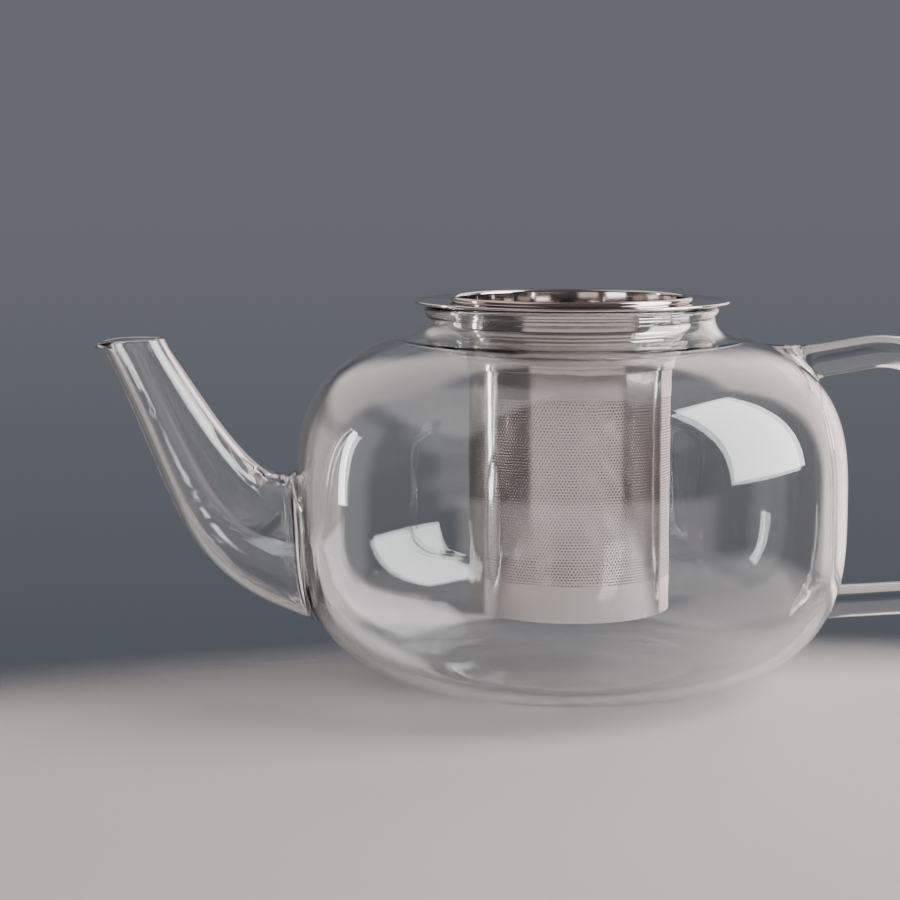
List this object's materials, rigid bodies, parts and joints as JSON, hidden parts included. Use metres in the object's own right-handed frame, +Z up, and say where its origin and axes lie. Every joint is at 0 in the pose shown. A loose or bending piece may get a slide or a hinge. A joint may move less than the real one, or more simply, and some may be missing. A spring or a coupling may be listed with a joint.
{
  "type": "glass teapot with lift-out infuser",
  "caption": "Squat clear glass teapot with an upturned spout, a looped glass handle and a lift-out polished steel infuser with a fine perforated basket.",
  "frame": {"origin": "on the bowl's axis, in the plane of its flat foot", "axes": "+Z up along the bowl's axis, +X towards the handle, -X towards the spout"},
  "size_m": [0.2754, 0.168, 0.1176],
  "materials": {
    "clear_glass": "clear, fire-polished borosilicate glass",
    "polished_steel": "mirror-polished stainless steel",
    "perforated_steel": "polished stainless sheet with a fine hexagonal perforation"
  },
  "bodies": {
    "pot": {"glass_bowl": "clear_glass", "glass_spout": "clear_glass", "glass_handle": "clear_glass"},
    "infuser": {"infuser_brim": "polished_steel", "infuser_collar": "polished_steel", "infuser_wall": "perforated_steel", "infuser_floor": "polished_steel"}
  },
  "joints": [
    {"name": "infuser_lift", "type": "slide", "parent": "pot", "child": "infuser", "axis": [0, 0, 1], "range_m": [0, 0.115]}
  ]
}
